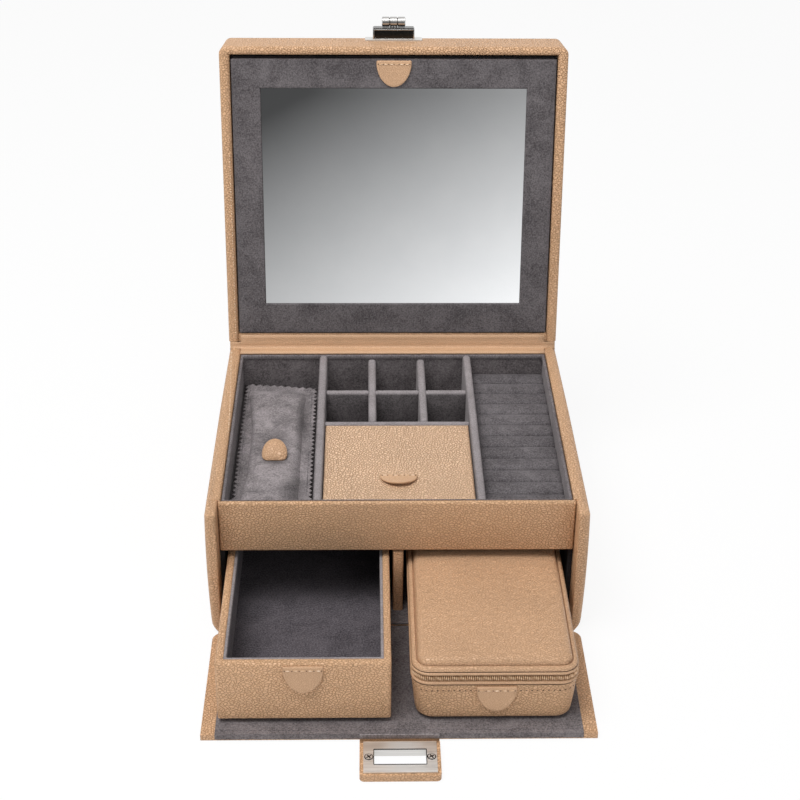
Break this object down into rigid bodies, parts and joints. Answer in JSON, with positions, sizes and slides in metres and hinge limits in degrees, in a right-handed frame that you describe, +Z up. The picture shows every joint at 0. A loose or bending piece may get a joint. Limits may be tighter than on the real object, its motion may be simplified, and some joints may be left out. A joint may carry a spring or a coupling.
{
  "type": "jewelry case",
  "caption": "Leather jewelry case, opened: mirror lid with turn lock, suede tray with ring rolls and pouch, drawer, zipped travel case and drop-down front flap.",
  "frame": {"origin": "on the table under the middle of the case body, in the plane of its underside", "axes": "+X to the right of someone looking into the case, +Y towards its back, +Z up"},
  "size_m": [0.25, 0.4421, 0.3383],
  "materials": {
    "leather_tan": "pebbled, satin",
    "suede_grey": "matte nap",
    "mirror": "polished",
    "steel": "brushed",
    "chrome": "polished",
    "zip_tape": "woven"
  },
  "bodies": {
    "case": {"base_board": "leather_tan", "bay_floor_lining": "suede_grey", "left_side_wall": "leather_tan", "right_side_wall": "leather_tan", "back_wall": "leather_tan", "hinge_strip_body": "leather_tan", "front_fascia": "leather_tan", "bay_divider": "leather_tan", "tray_deck": "suede_grey", "flap_hinge_leather": "leather_tan", "tray_lining": "suede_grey", "left_long_divider": "suede_grey", "right_long_divider": "suede_grey", "front_divider": "suede_grey", "cross_divider_1": "suede_grey", "cross_divider_2": "suede_grey", "cross_divider_3": "suede_grey", "short_divider_1": "suede_grey", "short_divider_2": "suede_grey", "lid_ledge_left": "suede_grey", "lid_ledge_right": "suede_grey", "ring_rolls": "suede_grey"},
    "front_compartment_lid": {"compartment_lid": "leather_tan", "compartment_tab": "leather_tan"},
    "pouch": {"pouch_body": "suede_grey", "pouch_tab": "leather_tan"},
    "drawer": {"drawer_front": "leather_tan", "drawer_back": "leather_tan", "drawer_left": "leather_tan", "drawer_right": "leather_tan", "drawer_bottom": "leather_tan", "drawer_lining": "suede_grey", "drawer_tab": "leather_tan"},
    "travel_case": {"travel_base": "leather_tan", "travel_lid": "leather_tan", "zip_band": "zip_tape", "travel_tab": "leather_tan"},
    "slider": {"zip_slider": "steel"},
    "lid": {"lid_top": "leather_tan", "lid_left_wall": "leather_tan", "lid_right_wall": "leather_tan", "lid_front_wall": "leather_tan", "lid_rear_wall": "leather_tan", "hinge_strip_lid": "leather_tan", "lid_spine": "leather_tan", "lid_lining": "suede_grey", "lock_plate": "steel", "lock_block": "chrome"},
    "mirror_panel": {"panel_frame": "suede_grey", "mirror_glass": "mirror", "panel_back": "suede_grey", "panel_tab": "leather_tan"},
    "knob": {"lock_knob": "chrome"},
    "flap": {"flap_board": "leather_tan", "flap_lining": "suede_grey"},
    "clasp_tab": {"clasp_tab_leather": "leather_tan", "clasp_slot_plate": "steel"}
  },
  "joints": [
    {"name": "lid_hinge", "type": "hinge", "parent": "case", "child": "lid", "pos_m": [0, 0.1155, 0.09615], "axis": [-1, 0, 0], "range_deg": [-97.4, 0]},
    {"name": "mirror_panel_hinge", "type": "hinge", "parent": "lid", "child": "mirror_panel", "pos_m": [0, 0.11898, 0.10629], "axis": [1, 0, 0], "range_deg": [0, 45]},
    {"name": "lock_knob_turn", "type": "hinge", "parent": "lid", "child": "knob", "pos_m": [0, 0.17447, 0.33202], "axis": [0, 0.1288, 0.9917], "range_deg": [0, 90]},
    {"name": "flap_hinge", "type": "hinge", "parent": "case", "child": "flap", "pos_m": [0, -0.1209, 0], "axis": [-1, 0, 0], "range_deg": [0, 0.5]},
    {"name": "clasp_tab_hinge", "type": "hinge", "parent": "flap", "child": "clasp_tab", "pos_m": [0, -0.2295, 0.0005], "axis": [1, 0, 0], "range_deg": [-90, 0]},
    {"name": "drawer_slide", "type": "slide", "parent": "case", "child": "drawer", "axis": [0, -1, 0], "range_m": [-0.11, 0.06]},
    {"name": "travel_case_slide", "type": "slide", "parent": "case", "child": "travel_case", "axis": [0, -1, 0], "range_m": [-0.11, 0.04]},
    {"name": "zip_slide", "type": "slide", "parent": "travel_case", "child": "slider", "axis": [0, -1, 0], "range_m": [0, 0.13]},
    {"name": "compartment_lid_hinge", "type": "hinge", "parent": "case", "child": "front_compartment_lid", "pos_m": [0, 0.006, 0.092], "axis": [-1, 0, 0], "range_deg": [0, 95]},
    {"name": "pouch_lift", "type": "slide", "parent": "case", "child": "pouch", "axis": [0, 0, 1], "range_m": [0, 0.045]}
  ]
}
